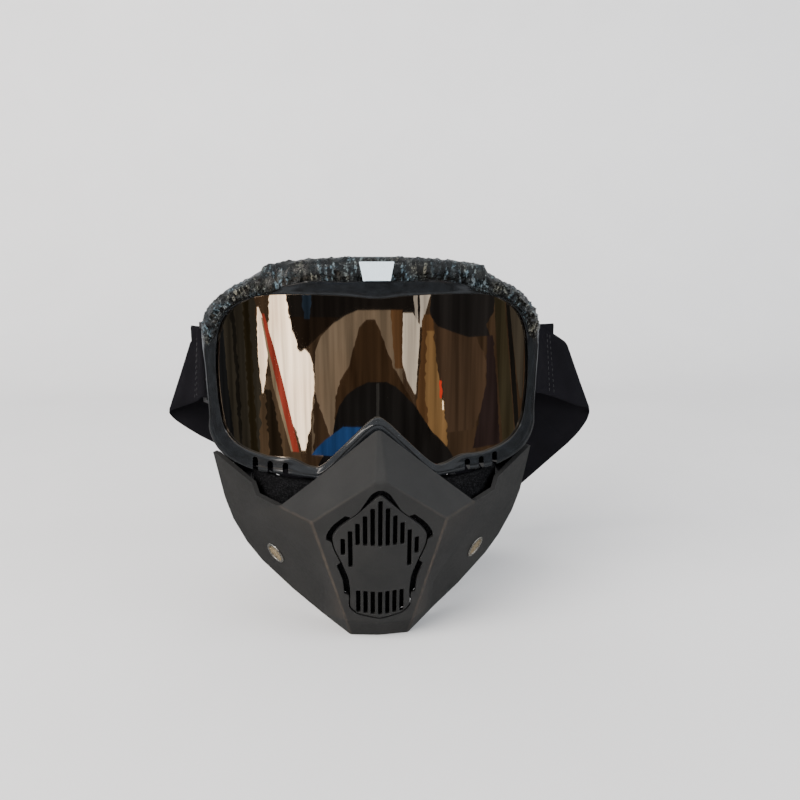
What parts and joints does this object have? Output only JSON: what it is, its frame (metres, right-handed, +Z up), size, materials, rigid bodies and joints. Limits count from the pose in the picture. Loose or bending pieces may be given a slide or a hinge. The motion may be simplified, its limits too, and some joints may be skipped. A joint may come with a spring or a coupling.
{
  "type": "motorcycle goggles with face mask",
  "caption": "Goggles with a mirrored lens in a curved frame, a detachable rigid lower face mask with a slotted vent, swinging outriggers and an elastic strap with sliders.",
  "frame": {"origin": "on the floor under the chin, at the middle of the chin's flat, with the goggles standing upright on it", "axes": "+Z up, -Y the way the goggles look, +X towards the wearer's left"},
  "size_m": [0.267, 0.1415, 0.193],
  "materials": {
    "frame_gloss": "gloss black, crinkled pattern on the brow",
    "lens_mirror": "bronze mirror coating",
    "badge": "satin, blank",
    "foam": "open-cell foam",
    "fleece": "brushed fleece",
    "strap": "woven elastic webbing",
    "silicone": "satin",
    "matte_black": "moulded, fine grain",
    "mask_plastic": "satin charcoal",
    "steel": "polished",
    "mesh": "woven wire gauze"
  },
  "bodies": {
    "goggles": {"goggle_frame": "frame_gloss", "lens": "lens_mirror", "badge_plate": "badge", "face_foam": "foam", "face_fleece": "fleece", "top_vent_foam": "foam", "lower_vent_foam_left": "foam", "lower_vent_foam_right": "foam", "hinge_pin_left": "steel", "hinge_pin_right": "steel", "strap_back": "strap", "silicone_grip_upper": "silicone", "silicone_grip_lower": "silicone"},
    "face_mask": {"mask_shell": "mask_plastic", "vent_insert": "mask_plastic", "filter_pad": "foam", "eyelet_left": "steel", "eyelet_washer_left": "steel", "eyelet_mesh_left": "mesh", "mask_stud_left": "matte_black", "cheek_seal_left": "foam", "eyelet_right": "steel", "eyelet_washer_right": "steel", "eyelet_mesh_right": "mesh", "mask_stud_right": "matte_black", "cheek_seal_right": "foam"},
    "filter_cover": {"filter_cover": "matte_black"},
    "outrigger_left": {"outrigger_left": "matte_black", "strap_left": "strap"},
    "outrigger_right": {"outrigger_right": "matte_black", "strap_right": "strap"},
    "strap_slider_left": {"strap_slider_left": "matte_black"},
    "strap_slider_right": {"strap_slider_right": "matte_black"}
  },
  "joints": [
    {"name": "mask_release", "type": "slide", "parent": "goggles", "child": "face_mask", "axis": [0, -1, 0], "range_m": [0, 0.05]},
    {"name": "filter_cover_release", "type": "slide", "parent": "face_mask", "child": "filter_cover", "axis": [0, 1, 0], "range_m": [0, 0.02]},
    {"name": "outrigger_left_swing", "type": "hinge", "parent": "goggles", "child": "outrigger_left", "pos_m": [0.0905, 0.0645, 0.133], "axis": [0, 0, 1], "range_deg": [-15, 20], "deforming": ["strap_left"]},
    {"name": "outrigger_right_swing", "type": "hinge", "parent": "goggles", "child": "outrigger_right", "pos_m": [-0.0905, 0.0645, 0.133], "axis": [0, 0, -1], "range_deg": [-15, 20], "deforming": ["strap_right"]},
    {"name": "strap_slider_left_slide", "type": "slide", "parent": "goggles", "child": "strap_slider_left", "axis": [-0.7227, 0.0644, -0.6881], "range_m": [-0.042, 0.007]},
    {"name": "strap_slider_right_slide", "type": "slide", "parent": "goggles", "child": "strap_slider_right", "axis": [0.8527, 0.0954, -0.5135], "range_m": [-0.028, 0.025]}
  ]
}
